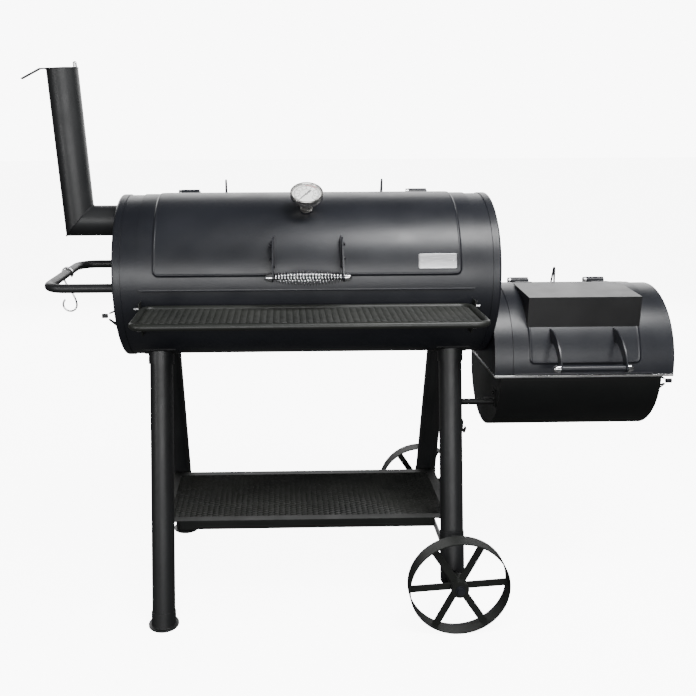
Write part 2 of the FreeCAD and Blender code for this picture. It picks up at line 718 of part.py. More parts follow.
def hood():
    """Folded tray on the firebox lid: sloping top, front flange and two side cheeks."""
    left = D["firebox_panel_left"]
    outline = [(-20, 838.5), (-160, 830), (-160, 745), (-20, 745)]
    inset = [(-10, 836), (-158, 828), (-158, 740), (-10, 740)]
    outside = plate(outline, left, "firebox_panel_right - firebox_panel_left")
    inside = plate(inset, left + 2, "firebox_panel_right - firebox_panel_left - 4")
    panel = solid_barrel(SEAM, "firebox_radius + lid_gap + sheet + emboss_raise")
    node("firebox_hood", cut(cut(outside, inside), panel))


FIREBOX_GRIP = (-258.0, 676.0)


def firebox_arm(x):
    """Crescent arm that carries the firebox grip."""
    outer = [(-160, 752), (-194, 750), (-222, 737), (-247, 716), (-262, 694), (-269, 676), (-266, 668)]
    inner = [(-254, 665), (-247, 676), (-238, 694), (-222, 709), (-201, 720), (-165, 722)]
    arm = plate(outer + inner, x - 2, "arm_sheet")
    panel = solid_barrel(SEAM, "firebox_radius + lid_gap + sheet + emboss_raise")
    bore = rod(vec(x - 10, FIREBOX_GRIP[0], FIREBOX_GRIP[1]), ALONG_X, "rod_radius", "30")
    return cut(cut(arm, panel), bore)


def firebox_handle():
    mid = FIREBOX_MID - 4
    half = 79.0
    y, z = FIREBOX_GRIP
    node("firebox_handle_arms", group(firebox_arm(mid - half), firebox_arm(mid + half)))
    core = rod(vec(mid - half - 2, y, z), ALONG_X, "rod_radius", "162")
    sleeve = rod(vec(mid - half + 2.5, y, z), ALONG_X, "7.5", "153")
    node("firebox_handle_grip", fuse(core, sleeve))
    node("firebox_handle_nuts", group(acorn(mid - half - 2, y, z, -1), acorn(mid + half + 2, y, z, 1)))


# ---------------------------------------------------------------- vents, push handle and hook

def vent(x, side, centre, hole, ring, radius):
    """Turning disc with air holes, its pivot, and a knob on two wire bows."""
    y, z = centre
    near = x + side * D["vent_gap"]
    turn = ALONG_X if side > 0 else FreeCAD.Rotation(Y_AXIS, -90)
    disc = rod(vec(near, y, z), turn, radius, "vent_sheet")
    disc = cut(disc, group(*vent_holes(near, centre, hole, ring, 30)))
    pivot = rod(vec(x - side * 5, y, z), turn, "3.25", "8")
    head = rod(vec(x - side * 5, y, z), turn, "6", "2.5")
    face = near + side * D["vent_sheet"]
    tip = x + side * 49
    wires = []
    for up, spread, rise in ((1, 11, 22), (-1, 13, 7 - D["vent_radius"] + (x > 0) * 6)):
        bow = [vec(face - side * 0.5, y + spread, z + rise), vec(tip, y, z + up * 2.5),
               vec(face - side * 0.5, y - spread, z + rise)]
        wires.append(raw(bent_rod(bow, 3.0, 2.0)))
    knob = rod(vec(tip - side * 5, y, z), turn, "6", "14")
    return fuse(disc, pivot, head, knob, *wires)


def vents():
    node("vent_left", vent(-D["cap_face"], -1, VENT_LEFT, "12", 28, "vent_radius"))
    node("vent_right", vent(D["bowl_right"], 1, VENT_RIGHT, "10", 24, "vent_radius - 6"))


def push_handle():
    x = -D["cap_face"]
    reach = -D["push_reach"]
    w = D["push_half"]
    path = [vec(x, -w, AXIS), vec(reach, -w, AXIS), vec(reach, w, AXIS), vec(x, w, AXIS)]
    pipe = raw(bent_rod(path, 50.0, D["push_radius"]))
    flanges = [rod(vec(x - 3, s * w, AXIS), ALONG_X, "push_radius + 5", "3") for s in (-1, 1)]
    node("push_handle", fuse(pipe, *flanges))


def s_hook():
    """Round wire bent to an S, hanging on the cross tube of the push handle."""
    cx = -D["push_reach"]
    wire = 2.5
    upper = D["push_radius"] + 0.5 + wire
    lower = 18.0
    drop = 86.0
    points = []
    for i in range(13):
        a = math.radians(-50 + 230 * i / 12.0)
        points.append((cx + upper * math.cos(a), AXIS + upper * math.sin(a)))
    for i in range(1, 6):
        t = i / 6.0
        ease = t * t * (3 - 2 * t)
        points.append((cx - upper + (upper + lower) * ease, AXIS - drop * t))
    for i in range(13):
        a = math.radians(-230 * i / 12.0)
        points.append((cx + lower * math.cos(a), AXIS - drop + lower * math.sin(a)))
    curve = Part.BSplineCurve()
    curve.interpolate([vec(px, 40, pz) for px, pz in points])
    node("s_hook", raw(sweep_round(Part.Wire([curve.toShape()]), wire)))


# ---------------------------------------------------------------- legs, wheels and shelves

def leg_turn(front):
    slope = FreeCAD.Vector(0, front * (D["leg_top"] - D["leg_spread"]), D["leg_top_height"])
    return FreeCAD.Rotation(Z_AXIS, slope)


def leg_point(side, front, z):
    return vec(side * D["leg_x"], front * leg_y(z), z)


def leg_cylinder(side, front, radius, low=-40.0, high=760.0):
    long = (high - low) * math.hypot(1, (D["leg_spread"] - D["leg_top"]) / D["leg_top_height"])
    return rod(leg_point(side, front, low), leg_turn(front), radius, "%.3f" % long)


def leg(side, front):
    """Splayed tube, trimmed to the saddle above and level with its foot or axle end below."""
    low = 5.0 if side < 0 else 100.0
    outside = leg_cylinder(side, front, "leg_radius", low - 40, 700.0)
    inside = leg_cylinder(side, front, "leg_radius - 2", low - 60, 740.0)
    hollow = cut(cut(outside, inside), solid_barrel(AXIS, "barrel_radius + sheet"))
    corner = leg_point(side, front, 0) - FreeCAD.Vector(80, 80, 200)
    hollow = cut(hollow, block(corner, "160", "160", "%.3f" % (200 + low)))
    if side > 0:
        hollow = cut(hollow, axle_bore("axle_radius"))
    return hollow


def leg_hook():
    """Small hook for tongs on the side of the front right leg."""
    z = 485.0
    side = D["leg_x"] + D["leg_radius"]
    profile = [(-3, 16), (2, 16), (2, -6), (5.5, -12), (8.5, -3), (11, -4), (7.5, -17), (4, -18), (-3, -10)]
    points = [vec(side + a, -leg_y(z) - 7, z + b) for a, b in profile]
    node("leg_hook", cut(folded(points, "14"), leg_cylinder(1, -1, "leg_radius")))


def axle_bore(radius):
    return rod(vec(D["leg_x"], -400, D["wheel_radius"]), ALONG_Y, radius, "800")


def legs():
    for side, word in ((-1, "left"), (1, "right")):
        for front, place in ((-1, "front"), (1, "rear")):
            node("leg_%s_%s" % (place, word), leg(side, front))
    node("leg_saddles", group(*mirrored(saddle)))
    node("leg_feet", group(foot(-1), foot(1)))
    node("axle_sockets", group(axle_socket(-1), axle_socket(1)))


def saddle(side):
    """Curved strap under the barrel with a collar for each leg."""
    strap = arc_sheet(side * D["leg_x"] + 42, AXIS, "84", "barrel_radius + sheet", "barrel_radius",
                      237, "66")
    collars = []
    for front in (-1, 1):
        ring = leg_cylinder(side, front, "leg_radius + 3", 648.0, 720.0)
        bore = leg_cylinder(side, front, "leg_radius", 600.0, 740.0)
        collars.append(cut(cut(ring, bore), solid_barrel(AXIS, "barrel_radius + sheet / 2")))
    return fuse(strap, *collars)


def foot(front):
    """Ground disc with a short sleeve round the leg end."""
    base = leg_point(-1, front, 0)
    disc = rod(base, PLAIN, "foot_radius", "foot_thick")
    sleeve = leg_cylinder(-1, front, "leg_radius + 2", -30.0, 34.0)
    bore = leg_cylinder(-1, front, "leg_radius", -60.0, 60.0)
    ring = cut(sleeve, bore)
    under = block(base - FreeCAD.Vector(100, 100, 200), "200", "200", "203")
    return fuse(disc, cut(ring, under))


def axle_socket(front):
    """Sleeve over the lower end of a right leg with the cross bore for the axle."""
    sleeve = cut(leg_cylinder(1, front, "leg_radius + 1.5", 60.0, 222.0),
                 leg_cylinder(1, front, "leg_radius", 20.0, 260.0))
    corner = leg_point(1, front, 0) - FreeCAD.Vector(80, 80, 200)
    sleeve = cut(sleeve, block(corner, "160", "160", "298"))
    return cut(sleeve, axle_bore("axle_radius"))


def axle():
    z = D["wheel_radius"]
    out = D["wheel_out"] + 6
    shaft = rod(vec(D["leg_x"], -out, z), ALONG_Y, "axle_radius", "2 * wheel_out + 12")
    parts = [shaft]
    for front in (-1, 1):
        outer = D["wheel_out"] + 2.4
        inner = D["wheel_out"] - D["wheel_width"] - 5.4
        for y in (outer, inner):
            start = y if front > 0 else -y - 3
            parts.append(rod(vec(D["leg_x"], start, z), ALONG_Y, "12", "3"))
        tip = outer + 3 if front > 0 else -outer - 3 - 8
        parts.append(rod(vec(D["leg_x"], tip, z), ALONG_Y, "9", "8"))
    node("axle", fuse(*parts))


def wheel(front):
    """Flat band rim, six flat spokes and a plain hub."""
    z = D["wheel_radius"]
    near = -D["wheel_out"] if front < 0 else D["wheel_out"] - D["wheel_width"]
    centre = vec(D["leg_x"], near, z)
    band = tube(centre, ALONG_Y, "wheel_radius", "wheel_radius - 3", "wheel_width")
    hub_start = vec(D["leg_x"], near - 2, z)
    hub = rod(hub_start, ALONG_Y, "hub_radius", "wheel_width + 4")
    mid = near + D["wheel_width"] / 2 - 2
    parts = [band, hub]
    for i in range(6):
        turn = FreeCAD.Rotation(Y_AXIS, -4 + 60 * i)
        base = vec(D["leg_x"], mid, z) - turn.multVec(Z_AXIS) * 9 + turn.multVec(X_AXIS) * 15
        parts.append(block(base, "wheel_radius - 2 - 15", "4", "18", turn))
    whole = fuse(*parts)
    return cut(whole, rod(vec(D["leg_x"], near - 10, z), ALONG_Y, "axle_radius + 0.08", "wheel_width + 20"))


def bottom_shelf():
    h = D["shelf_half"]
    w = D["shelf_depth"]
    z = D["shelf_top"]
    size = D["angle_size"]
    t = D["angle_sheet"]
    outer = block(vec(-h, -w, z - size), "2 * shelf_half", "2 * shelf_depth", "angle_size")
    core = block(vec(-h + t, -w + t, z - size - 1), "2 * shelf_half - 2 * angle_sheet",
                 "2 * shelf_depth - 2 * angle_sheet", "angle_size - angle_sheet + 1")
    window = block(vec(-h + size, -w + size, z - size), "2 * shelf_half - 2 * angle_size",
                   "2 * shelf_depth - 2 * angle_size", "2 * angle_size")
    notches = [block(vec(s * (h + 2) - 28 - 28 * s, f * (w + 2) - 13 - 13 * f, z - size - 1), "56", "26",
                     "angle_size - angle_sheet + 1") for s in (-1, 1) for f in (-1, 1)]
    node("bottom_shelf_frame", cut(cut(outer, group(core, window)), group(*notches)))
    x1, y1 = h - t - 0.1, w - t - 0.1
    top = z - t - D["mesh_thick"]
    holes = diamonds(-x1 + 16, -y1 + 16, x1 - 16, y1 - 16, 30.0, 13.0, 2.2)
    node("bottom_shelf_mesh", raw(perforated(-x1, -y1, x1, y1, top, D["mesh_thick"], holes)))
    bars = [block(vec(-h + t, y - 10, top - 3), "2 * shelf_half - 2 * angle_sheet", "20", "3")
            for y in (-50, 50)]
    node("bottom_shelf_bars", group(*bars))
    node("bottom_shelf_brackets", group(*[shelf_bracket(s, f) for s in (-1, 1) for f in (-1, 1)]))


def shelf_bracket(side, front):
    """Short strap from the shelf out to the leg in front of it or behind it."""
    w = D["shelf_depth"]
    y = w if front > 0 else -w - 44
    strap = block(vec(side * D["leg_x"] - 12, y, D["shelf_top"] - 14), "24", "44", "14")
    socket = "leg_radius + 1.6" if side > 0 else "leg_radius"
    return cut(strap, leg_cylinder(side, front, socket))


def front_shelf():
    h = D["front_half"]
    back = -D["front_back"]
    out = -D["front_out"]
    z = D["front_height"]
    loop = [vec(-h, back, z), vec(-h, out, z), vec(h, out, z), vec(h, back, z)]
    node("front_shelf_frame", raw(bent_rod(loop, 26.0, D["front_tube"], True)))
    r = D["front_tube"]
    x1 = h - r - 0.1
    holes = diamonds(-x1 + 12, out + r + 8, x1 - 12, back - r - 4, 30.0, 13.0, 2.2)
    sheet_form = perforated(-x1, out + r + 0.1, x1, back - r - 0.1, z - 1, D["mesh_thick"], holes)
    rim = Part.makeBox(2 * x1, D["front_out"] - D["front_back"] - 2 * r - 0.2, 30, vec(-x1, out + r + 0.1, z - 15))
    rim = rim.makeFillet(18.1, [e for e in rim.Edges if e.BoundBox.ZLength > 20])
    sheet_form = sheet_form.common(rim)
    node("front_shelf_mesh", raw(sheet_form))
    node("front_shelf_brackets", group(*mirrored(side_plate)))
    bolts = []
    for side in (-1, 1):
        turn = ALONG_X if side > 0 else FreeCAD.Rotation(Y_AXIS, -90)
        for y, zz in SHELF_BOLTS:
            bolts.append(rod(vec(side * (D["front_half"] + D["front_tube"] + 3), y, zz), turn, "3.2", "13"))
    node("front_shelf_bolts", group(*bolts))


SHELF_BOLTS = ((-213.0, 822.0), (-192.0, 764.0))


def side_plate(side):
    """Upright plate between the barrel and the end of the front shelf."""
    x = D["front_half"] + D["front_tube"] if side > 0 else -D["front_half"] - D["front_tube"] - 3
    shape = plate([(-180, 838), (-232, 838), (-232, 810), (-203, 752), (-160, 752)], x, "3")
    return cut(shape, solid_barrel(AXIS, "barrel_radius"))


# ---------------------------------------------------------------- internal pieces

def chord(radius, drop):
    return math.sqrt(radius ** 2 - drop ** 2)


def internals():
    inner = D["barrel_radius"] - D["sheet"]
    z = 838.0
    w = 192.0
    halves = []
    for x0, x1 in ((-446.0, -3.0), (3.0, 446.0)):
        halves.append(raw(perforated(x0, -w, x1, w, z, 6.0, slots(x0, x1, -w, w, 17.0, 5.0, 3))))
    node("cooking_grates", group(*halves))
    zc = 742.0
    wc = 150.0
    holes = slots(-400.0, 400.0, -wc, wc, 22.0, 6.0, 2)
    node("charcoal_grate", raw(perforated(-400.0, -wc, 400.0, wc, zc, 6.0, holes)))
    zf = 552.0
    wf = 138.0
    x0, x1 = 500.0, 886.0
    holes = slots(x0, x1, -wf, wf, 22.0, 6.0, 2)
    node("firebox_grate", raw(perforated(x0, -wf, x1, wf, zf, 6.0, holes)))
    rests = []
    for height, centre, radius, left, right in ((z, AXIS, inner, -440, 440), (zc, AXIS, inner, -395, 395),
                                                (zf, D["bowl_height"], D["bowl_radius"] - 2, 500, 886)):
        edge = chord(radius, centre - (height - 4)) - 0.05
        for side in (-1, 1):
            y = edge - 20 if side > 0 else -edge
            rests.append(block(vec(left, y, height - 4), str(right - left), "20", "4"))
    node("grate_rests", group(*rests))


# ---------------------------------------------------------------- build, check and write

def check_all():
    for obj in doc.Objects:
        bad = [s for s in obj.State if s in ("Invalid", "Error")]
        if bad:
            raise RuntimeError("%s (%s): %s" % (obj.Name, obj.Label, bad))
    for label, obj in NODES:
        if obj.Shape.isNull() or not obj.Shape.isValid() or not obj.Shape.Solids:
            raise RuntimeError("bad shape: " + label)


def write_all():
    os.makedirs("parts", exist_ok=True)
    for label, obj in NODES:
        obj.Shape.exportStep("parts/%s.step" % label)


barrel_shells()
barrel_caps()
chimney()
chimney_cap()
lids()
thermometer()
lid_handle()
badge()
firebox()
hood()
firebox_handle()
vents()
push_handle()
s_hook()
legs()
leg_hook()
axle()
node("wheel_front", wheel(-1))
node("wheel_rear", wheel(1))
bottom_shelf()
front_shelf()
internals()
doc.recompute()
check_all()
write_all()
whole = FreeCAD.BoundBox()
for label, obj in NODES:
    whole.add(obj.Shape.BoundBox)
print(len(NODES), "nodes; box", whole)
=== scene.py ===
import json
import math

import bmesh
import bpy
from mathutils import Matrix, Vector

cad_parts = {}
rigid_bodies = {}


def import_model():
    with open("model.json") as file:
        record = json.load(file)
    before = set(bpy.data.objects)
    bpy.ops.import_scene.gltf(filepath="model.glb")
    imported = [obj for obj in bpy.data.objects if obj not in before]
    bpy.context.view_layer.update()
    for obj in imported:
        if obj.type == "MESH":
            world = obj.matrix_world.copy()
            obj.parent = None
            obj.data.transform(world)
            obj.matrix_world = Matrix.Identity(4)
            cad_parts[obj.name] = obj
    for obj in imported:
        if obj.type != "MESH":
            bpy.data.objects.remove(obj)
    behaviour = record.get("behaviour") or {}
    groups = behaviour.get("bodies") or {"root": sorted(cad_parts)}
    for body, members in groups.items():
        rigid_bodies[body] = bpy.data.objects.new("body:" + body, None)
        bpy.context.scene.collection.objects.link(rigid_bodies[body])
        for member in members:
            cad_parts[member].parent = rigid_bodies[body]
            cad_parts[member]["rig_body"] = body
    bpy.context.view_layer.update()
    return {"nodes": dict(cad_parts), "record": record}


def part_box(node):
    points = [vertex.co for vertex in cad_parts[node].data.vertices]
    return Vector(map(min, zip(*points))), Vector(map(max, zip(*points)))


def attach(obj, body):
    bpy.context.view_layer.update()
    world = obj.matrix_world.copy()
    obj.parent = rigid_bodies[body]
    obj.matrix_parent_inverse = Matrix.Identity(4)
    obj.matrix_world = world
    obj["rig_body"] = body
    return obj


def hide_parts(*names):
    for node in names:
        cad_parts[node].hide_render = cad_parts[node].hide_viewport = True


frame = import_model()
NODES = frame["nodes"]

# ------------------------------------------------------------------ places
# Lengths are in millimetres from the middle of the barrel and from the ground.
# at() turns them into a point of the row frame in metres.


def middle_of(node):
    low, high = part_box(node)
    return (low + high) / 2


BARREL = middle_of("barrel_lower_shell")
CENTRE_Y = middle_of("axle").y
MM = 0.001
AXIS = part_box("barrel_lower_shell")[1].z / MM
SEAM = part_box("firebox_ledge")[1].z / MM
RADIUS = (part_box("barrel_lower_shell")[1].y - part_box("barrel_lower_shell")[0].y) / 2 / MM
BOX_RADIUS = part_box("firebox_housing")[1].z / MM - SEAM
SHEET = 2.0
LID_GAP = 0.3
RAISE = 2.5
LID_BACK = 103.6
LID_HALF = (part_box("lid_shell")[1].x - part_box("lid_shell")[0].x) / 2 / MM
PANEL_HALF = LID_HALF - 36.0


def at(x, y, z):
    return Vector((BARREL.x + x * MM, CENTRE_Y + y * MM, z * MM))


def on_arc(x, angle, radius, height):
    """Point of a cylinder along X; the angle runs from the front upward, in degrees."""
    a = math.radians(angle)
    return at(x, -radius * math.cos(a), height + radius * math.sin(a))


def rel_x(value):
    return (value - BARREL.x) / MM


# ------------------------------------------------------------------ materials

def new_material(name):
    mat = bpy.data.materials.new(name)
    mat.use_nodes = True
    return mat, mat.node_tree.nodes, mat.node_tree.links, mat.node_tree.nodes["Principled BSDF"]


def noise(nodes, links, scale, detail=3.0, stretch=(1, 1, 1)):
    coords = nodes.new("ShaderNodeTexCoord")
    mapping = nodes.new("ShaderNodeMapping")
    mapping.inputs["Scale"].default_value = stretch
    tex = nodes.new("ShaderNodeTexNoise")
    tex.inputs["Scale"].default_value = scale
    tex.inputs["Detail"].default_value = detail
    links.new(coords.outputs["Object"], mapping.inputs["Vector"])
    links.new(mapping.outputs["Vector"], tex.inputs["Vector"])
    return tex.outputs["Fac"]


def ramp(nodes, links, factor, low, high, start=0.35, stop=0.65):
    node = nodes.new("ShaderNodeValToRGB")
    node.color_ramp.elements[0].position = start
    node.color_ramp.elements[1].position = stop
    node.color_ramp.elements[0].color = (*low, 1)
    node.color_ramp.elements[1].color = (*high, 1)
    links.new(factor, node.inputs["Fac"])
    return node.outputs["Color"]


def spread(nodes, links, factor, low, high):
    node = nodes.new("ShaderNodeMapRange")
    node.inputs["From Min"].default_value = 0.3
    node.inputs["From Max"].default_value = 0.7
    node.inputs["To Min"].default_value = low
    node.inputs["To Max"].default_value = high
    links.new(factor, node.inputs["Value"])
    return node.outputs["Result"]


def bump(nodes, links, shader, height, strength, distance):
    node = nodes.new("ShaderNodeBump")
    node.inputs["Strength"].default_value = strength
    node.inputs["Distance"].default_value = distance
    links.new(height, node.inputs["Height"])
    links.new(node.outputs["Normal"], shader.inputs["Normal"])


def paint(name, dark, light, rough, specular=0.5, grain=900.0, strength=0.12):
    """Heat-proof paint: faint cloudy colour, uneven gloss and a fine orange peel."""
    mat, nodes, links, shader = new_material(name)
    cloud = noise(nodes, links, 5.0, 4.0)
    links.new(ramp(nodes, links, cloud, dark, light), shader.inputs["Base Color"])
    patch = noise(nodes, links, 14.0, 5.0)
    links.new(spread(nodes, links, patch, rough[0], rough[1]), shader.inputs["Roughness"])
    shader.inputs["Specular IOR Level"].default_value = specular
    bump(nodes, links, shader, noise(nodes, links, grain, 2.0), strength, 0.0004)
    return mat


def metal(name, dark, light, rough, stretch=(1, 1, 1), scale=60.0, strength=0.05):
    """Bare or plated metal with drawn lines or light smears."""
    mat, nodes, links, shader = new_material(name)
    lines = noise(nodes, links, scale, 4.0, stretch)
    links.new(ramp(nodes, links, lines, dark, light), shader.inputs["Base Color"])
    links.new(spread(nodes, links, lines, rough[0], rough[1]), shader.inputs["Roughness"])
    shader.inputs["Metallic"].default_value = 1.0
    bump(nodes, links, shader, lines, strength, 0.0002)
    return mat


def glass():
    mat, nodes, links, shader = new_material("lens_glass")
    smear = noise(nodes, links, 40.0, 3.0)
    links.new(spread(nodes, links, smear, 0.03, 0.08), shader.inputs["Roughness"])
    links.new(ramp(nodes, links, smear, (0.95, 0.96, 0.95), (1, 1, 1)), shader.inputs["Base Color"])
    shader.inputs["IOR"].default_value = 1.45
    shader.inputs["Alpha"].default_value = 0.10
    return mat


BLACK = paint("satin_black_paint", (0.0065, 0.0072, 0.0098), (0.0105, 0.0115, 0.0150),
              (0.33, 0.41), 0.5)
PIPE_BLACK = paint("tube_black_paint", (0.007, 0.0075, 0.008), (0.011, 0.0115, 0.0125),
                   (0.40, 0.50), 0.45)
# Painted shade: the satin black paint again, with a darker base colour, so the firebox bowl and strut read
# as shaded
SHADE_DARKENED_BLACK = paint("black_paint_darkened_for_shade", (0.0030, 0.0032, 0.0034), (0.0055, 0.0060, 0.0058),
                   (0.5, 0.6), 0.25)
MESH_BLACK = paint("mesh_black_paint", (0.007, 0.008, 0.007), (0.013, 0.014, 0.012),
                   (0.38, 0.5), 0.45, 600.0, 0.2)
# Painted shade: the satin black paint again, with a darker base colour, so the front of the hood reads as
# shaded
HOOD_SHADE_DARKENED_BLACK = paint("hood_black_paint_darkened_for_shade", (0.0035, 0.0035, 0.0038), (0.0060, 0.0060, 0.0064),
                   (0.36, 0.44), 0.5)
RACK_BLACK = paint("rack_black_paint", (0.0050, 0.0056, 0.0050), (0.0085, 0.0092, 0.0085),
                   (0.55, 0.66), 0.2)
WHEEL_BLACK = paint("wheel_black_paint", (0.0060, 0.0068, 0.0060), (0.0095, 0.0105, 0.0095),
                    (0.55, 0.65), 0.25)
IRON = paint("grate_enamel", (0.01, 0.01, 0.01), (0.025, 0.023, 0.02), (0.35, 0.6), 0.5, 300.0, 0.35)
CHROME = metal("chrome_plate", (0.82, 0.82, 0.84), (0.94, 0.94, 0.95), (0.10, 0.17))
ZINC = metal("zinc_plate", (0.55, 0.56, 0.58), (0.72, 0.72, 0.72), (0.25, 0.4), (1, 1, 1), 120.0)
STAINLESS = metal("brushed_stainless", (0.42, 0.41, 0.39), (0.6, 0.59, 0.57), (0.22, 0.34), (1, 1, 30), 40.0)
BARE = metal("bare_edge_steel", (0.75, 0.75, 0.75), (0.92, 0.92, 0.92), (0.25, 0.35), (0.3, 6, 6), 60.0)
PLATE = metal("satin_aluminium", (0.5, 0.5, 0.51), (0.62, 0.62, 0.63), (0.3, 0.42), (0.5, 20, 20), 60.0)
DIAL = paint("dial_enamel", (0.78, 0.78, 0.74), (0.86, 0.86, 0.83), (0.35, 0.45), 0.5, 500.0, 0.03)
INK = paint("printed_ink", (0.012, 0.012, 0.012), (0.02, 0.02, 0.02), (0.5, 0.6), 0.4, 500.0, 0.03)
RED_INK = paint("printed_red", (0.35, 0.02, 0.015), (0.45, 0.03, 0.02), (0.5, 0.6), 0.4, 500.0, 0.03)
GLASS = glass()

BY_SLOT = {
    "black_steel": BLACK,
    "badge": PLATE,
    "bare_steel": BARE,
    "stainless": STAINLESS,
    "chrome": CHROME,
    "zinc": ZINC,
    "dial_white": DIAL,
    "needle_black": INK,
    "lens": GLASS,
    "grate_iron": IRON,
}
SPECIAL = {
    "firebox_bowl": SHADE_DARKENED_BLACK,
    "firebox_strut": SHADE_DARKENED_BLACK,
    "firebox_hood": HOOD_SHADE_DARKENED_BLACK,
    "chimney_pipe": PIPE_BLACK,
    "chimney_elbow": PIPE_BLACK,
    "push_handle": PIPE_BLACK,
}
SPECIAL.update({n: PIPE_BLACK for n in NODES if n.startswith(("leg_", "axle_sockets"))})
SPECIAL.update({n: WHEEL_BLACK for n in NODES if n.startswith("wheel_")})
SPECIAL.update({n: MESH_BLACK for n in NODES
                if n.startswith(("bottom_shelf", "front_shelf")) and "bolts" not in n})
SPECIAL.update({n: RACK_BLACK for n in ("bottom_shelf_frame", "bottom_shelf_brackets")})
SLOT_OF = {row["node"]: row["material_slot"] for row in frame["record"]["subparts"]}


def material_for(node):
    return SPECIAL.get(node) or BY_SLOT[SLOT_OF[node]]


for name, obj in NODES.items():
    obj.data.materials.clear()
    obj.data.materials.append(material_for(name))


# ------------------------------------------------------------------ mesh helpers

class Shape:
    """Collects simple closed forms into one mesh."""

    def __init__(self):
        self.verts = []
        self.faces = []

    def add(self, verts, faces):
        base = len(self.verts)
        self.verts.extend(verts)
        self.faces.extend([tuple(base + i for i in face) for face in faces])

    def rings(self, rings, closed=False, caps=True):
        """Skin over rings that all have the same number of points."""
        count = len(rings[0])
        verts = [p for ring in rings for p in ring]
        faces = []
        last = len(rings) if closed else len(rings) - 1
        for i in range(last):
            a, b = i * count, ((i + 1) % len(rings)) * count
            for j in range(count):
                k = (j + 1) % count
                faces.append((a + j, a + k, b + k, b + j))
        if caps and not closed:
            faces.append(tuple(reversed(range(count))))
            faces.append(tuple(range(len(verts) - count, len(verts))))
        self.add(verts, faces)

    def lathe(self, origin, axis, profile, seg=64):
        """Turned form; the profile is (along, radius) in millimetres, the ends are closed."""
        axis = axis.normalized()
        side = axis.orthogonal().normalized()
        up = axis.cross(side)
        rings = []
        for along, radius in profile:
            ring = []
            for i in range(seg):
                a = 2 * math.pi * i / seg
                out = side * math.cos(a) + up * math.sin(a)
                ring.append(origin + axis * along * MM + out * max(radius, 0.01) * MM)
            rings.append(ring)
        self.rings(rings)

    def tube(self, points, radius, seg=14, closed=False):
        """Round wire along points, with a section that doesn't twist."""
        count = len(points)
        rings = []
        normal = None
        for i, here in enumerate(points):
            if closed:
                along = points[(i + 1) % count] - points[i - 1]
            else:
                along = points[min(i + 1, count - 1)] - points[max(i - 1, 0)]
            along.normalize()
            if normal is None:
                normal = along.orthogonal()
            normal = (normal - along * normal.dot(along)).normalized()
            cross = along.cross(normal)
            ring = []
            for j in range(seg):
                a = 2 * math.pi * j / seg
                ring.append(here + (normal * math.cos(a) + cross * math.sin(a)) * radius * MM)
            rings.append(ring)
        self.rings(rings, closed)

    def prism(self, outline, along):
        """Flat outline pulled along a vector."""
        self.rings([outline, [p + along for p in outline]])

    def piece(self, name, body, material, replaces=(), angle=35.0):
        mesh = bpy.data.meshes.new(name)
        mesh.from_pydata([tuple(v) for v in self.verts], [], self.faces)
        work = bmesh.new()
        work.from_mesh(mesh)
        bmesh.ops.recalc_face_normals(work, faces=work.faces)
        work.to_mesh(mesh)
        work.free()
        obj = bpy.data.objects.new(name, mesh)
        bpy.context.scene.collection.objects.link(obj)
        mesh.materials.append(material)
        smooth(obj, angle)
        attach(obj, body)
        if replaces:
            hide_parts(*replaces)
        return obj


def smooth(obj, angle):
    for face in obj.data.polygons:
        face.use_smooth = True
    obj.data.set_sharp_from_angle(angle=math.radians(angle))


def softened(node, width):
    """Copy of a CAD node whose edges are slightly rounded, to stand for it."""
    angle = 35.0
    source = NODES[node]
    mesh = source.data.copy()
    work = bmesh.new()
    work.from_mesh(mesh)
    bmesh.ops.remove_doubles(work, verts=work.verts, dist=0.00002)
    bmesh.ops.dissolve_limit(work, angle_limit=math.radians(0.6), verts=work.verts, edges=work.edges)
    work.to_mesh(mesh)
    work.free()
    obj = bpy.data.objects.new(node + "_finish", mesh)
    bpy.context.scene.collection.objects.link(obj)
    mesh.materials.clear()
    mesh.materials.append(material_for(node))
    smooth(obj, angle)
    bevel = obj.modifiers.new("edge", "BEVEL")
    bevel.width = width * MM
    bevel.segments = 2
    bevel.limit_method = "ANGLE"
    bevel.angle_limit = math.radians(angle)
    bevel.harden_normals = True
    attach(obj, source["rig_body"])
    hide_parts(node)
    return obj


def steps(start, stop, step):
    count = max(1, int(math.ceil(abs(stop - start) / step)))
    return [start + (stop - start) * i / count for i in range(count + 1)]


def bands(start, stop, coarse, fine, places, reach):
    """Positions from start to stop, close together near the given places."""
    marks = {round(v, 4) for v in steps(start, stop, coarse)}
    for place in places:
        for v in steps(place - reach, place + reach, fine):
            if start < v < stop:
                marks.add(round(v, 4))
    ordered = sorted(marks)
    kept = [ordered[0]]
    for v in ordered[1:]:
        if v - kept[-1] > fine * 0.4:
            kept.append(v)
    kept[-1] = ordered[-1]
    return kept


def ease(t):
    t = min(1.0, max(0.0, t))
    return t * t * (3 - 2 * t)


# ------------------------------------------------------------------ curved sheets

def thin_sheet(shape, xs_of, angles, outer, inner, height):
    """Closed sheet around a line along X; outer is a function of x and angle."""
    top = [[on_arc(x, a, outer(x, a), height) for x in xs_of(a)] for a in angles]
    low = [[on_arc(x, a, inner, height) for x in xs_of(a)] for a in angles]
    rings = []
    for row_top, row_low in zip(top, low):
        rings.append(row_top + row_low[::-1])
    shape.rings(rings)


def plain_sheet(shape, x0, x1, start, stop, outer, inner, height):
    angles = steps(start, stop, 1.5)
    thin_sheet(shape, lambda a: [x0, x1], angles, lambda x, a: outer, inner, height)


def corner_inset(distance, corner):
    """How far a rounded corner stands in from the side, at a distance from the end."""
    if distance >= corner:
        return 0.0
    gap = corner - distance
    return corner - math.sqrt(max(corner ** 2 - gap ** 2, 0.0))


